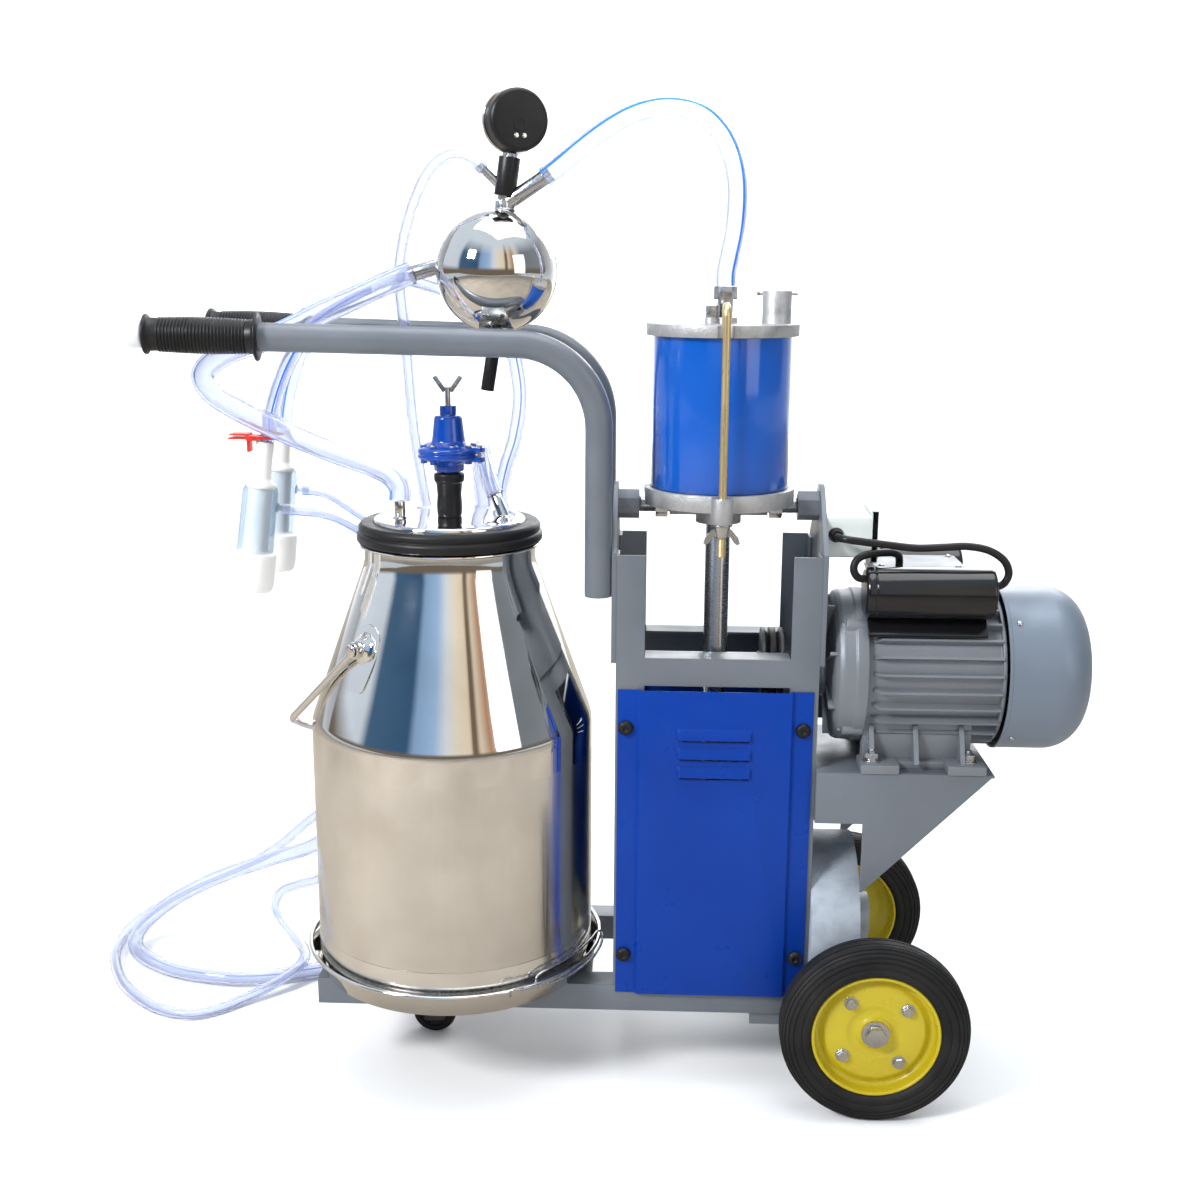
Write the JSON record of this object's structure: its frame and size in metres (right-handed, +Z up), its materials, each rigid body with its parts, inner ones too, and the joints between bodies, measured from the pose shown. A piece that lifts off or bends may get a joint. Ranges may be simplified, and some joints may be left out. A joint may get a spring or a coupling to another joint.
{
  "type": "portable milking machine",
  "caption": "Portable bucket milking machine: wheeled steel frame, swinging piston vacuum pump with motor, vacuum tank, lidded steel bucket and teat cups.",
  "frame": {"origin": "on the ground, at the middle of the machine without its hoses", "axes": "+Z up, +X towards the motor and rear wheels, +Y towards the far side of the frame"},
  "size_m": [1.1661, 0.4355, 1.0605],
  "materials": {
    "steel_frame": "satin",
    "blue_paint": "gloss",
    "black_plastic": "matte",
    "zinc_steel": "bright",
    "yellow_paint": "satin",
    "tyre_rubber": "matte",
    "black_rubber": "satin",
    "stainless": "polished",
    "white_plastic": "satin",
    "gauge_black": "satin",
    "red_plastic": "gloss",
    "cast_alloy": "cast",
    "yellow_zinc": "bright",
    "cast_iron": "machined",
    "grey_paint": "satin",
    "black_gloss": "gloss",
    "clear_hose": "clear",
    "clear_plastic": "clear",
    "white_rubber": "satin",
    "blue_plastic": "gloss"
  },
  "bodies": {
    "frame": {"base_frame": "steel_frame", "tower_frame": "steel_frame", "motor_bracket": "steel_frame", "front_panel": "blue_paint", "rear_panel": "blue_paint", "frame_fasteners": "black_plastic", "axle": "zinc_steel", "near_handle": "steel_frame", "far_handle": "steel_frame", "handle_grips": "black_plastic", "vacuum_tank": "stainless", "tank_sleeves": "black_rubber", "gauge_case": "gauge_black", "pivot_plates": "steel_frame", "drive_belt": "black_rubber", "motor_body": "cast_alloy", "motor_fan_cover": "grey_paint", "capacitors": "black_gloss", "switch_box": "white_plastic", "motor_cable": "black_rubber", "reducer_drum": "grey_paint", "bucket": "stainless", "tray": "stainless", "cup_shells": "clear_plastic", "cup_liners": "white_rubber", "y_piece": "clear_plastic", "t_piece": "clear_plastic", "pump_hose": "clear_hose", "bucket_hose": "clear_hose", "milk_hose": "clear_hose", "pulse_hose": "clear_hose", "near_milk_tube": "clear_hose", "far_milk_tube": "clear_hose", "near_pulse_tube": "clear_hose", "far_pulse_tube": "clear_hose"},
    "near_wheel": {"near_rim": "yellow_paint", "near_tyre": "tyre_rubber"},
    "far_wheel": {"far_rim": "yellow_paint", "far_tyre": "tyre_rubber"},
    "caster": {"caster_fork": "zinc_steel"},
    "caster_roller": {"caster_wheel": "black_rubber"},
    "needle": {"gauge_needle": "red_plastic"},
    "cylinder": {"pump_cylinder": "blue_paint", "pump_top_cover": "cast_alloy", "pump_bottom_cover": "cast_alloy", "hook_bolts": "yellow_zinc", "pump_fittings": "zinc_steel", "trunnion_pins": "zinc_steel"},
    "piston": {"piston": "cast_iron", "piston_rod": "zinc_steel"},
    "crankshaft": {"crank": "cast_iron", "driven_pulley": "cast_iron"},
    "rotor": {"motor_rotor": "cast_iron"},
    "switch_rocker": {"rocker": "red_plastic"},
    "bail": {"bail": "stainless"},
    "lid": {"lid": "stainless", "lid_gasket": "black_plastic", "regulator": "blue_plastic"},
    "regulator_screw": {"wing_screw": "zinc_steel"},
    "clip": {"shut_off_clip": "red_plastic"}
  },
  "joints": [
    {"name": "near_wheel_spin", "type": "hinge", "parent": "frame", "child": "near_wheel", "pos_m": [0.272, -0.1375, 0.1], "axis": [0, 1, 0], "continuous": true},
    {"name": "far_wheel_spin", "type": "hinge", "parent": "frame", "child": "far_wheel", "pos_m": [0.272, 0.1625, 0.1], "axis": [0, 1, 0], "continuous": true},
    {"name": "caster_swivel", "type": "hinge", "parent": "frame", "child": "caster", "pos_m": [-0.196, 0.0215, 0.06], "axis": [0, 0, 1], "continuous": true},
    {"name": "caster_roll", "type": "hinge", "parent": "caster", "child": "caster_roller", "pos_m": [-0.219, 0.0215, 0.025], "axis": [0, 1, 0], "continuous": true},
    {"name": "needle_turn", "type": "hinge", "parent": "frame", "child": "needle", "pos_m": [-0.113, -0.0185, 1.028], "axis": [-0.4226, 0.9063, 0], "range_deg": [0, 270]},
    {"name": "cylinder_swing", "type": "hinge", "parent": "frame", "child": "cylinder", "pos_m": [0.0997, -0.0185, 0.64], "axis": [1, 0, 0], "range_deg": [-5.5, 5.5], "deforming": ["pump_hose"]},
    {"name": "piston_slide", "type": "slide", "parent": "cylinder", "child": "piston", "axis": [0, 0, 1], "range_m": [0, 0.09]},
    {"name": "motor_spin", "type": "hinge", "parent": "frame", "child": "rotor", "pos_m": [0.3, -0.0185, 0.468], "axis": [1, 0, 0], "continuous": true},
    {"name": "crank_spin", "type": "hinge", "parent": "frame", "child": "crankshaft", "pos_m": [0.1, -0.0185, 0.175], "axis": [1, 0, 0], "continuous": true},
    {"name": "rocker_tilt", "type": "hinge", "parent": "frame", "child": "switch_rocker", "pos_m": [0.258, -0.033, 0.6155], "axis": [0, 1, 0], "range_deg": [0, 10]},
    {"name": "bail_swing", "type": "hinge", "parent": "frame", "child": "bail", "pos_m": [-0.1867, -0.0185, 0.5], "axis": [0.6561, 0.7547, 0], "range_deg": [0, 30]},
    {"name": "lid_lift", "type": "slide", "parent": "frame", "child": "lid", "axis": [0, 0, 1], "range_m": [0, 0.025], "deforming": ["bucket_hose", "milk_hose"]},
    {"name": "wing_screw_turn", "type": "hinge", "parent": "lid", "child": "regulator_screw", "pos_m": [-0.1867, -0.0185, 0.75], "axis": [0, 0, 1], "range_deg": [-180, 180]},
    {"name": "clip_turn", "type": "hinge", "parent": "frame", "child": "clip", "pos_m": [-0.3735, -0.0381, 0.71], "axis": [0, 0, 1], "range_deg": [-60, 60]}
  ],
  "couplings": [
    {"joint": "crank_spin", "follows": "motor_spin", "ratio": 0.57935}
  ]
}
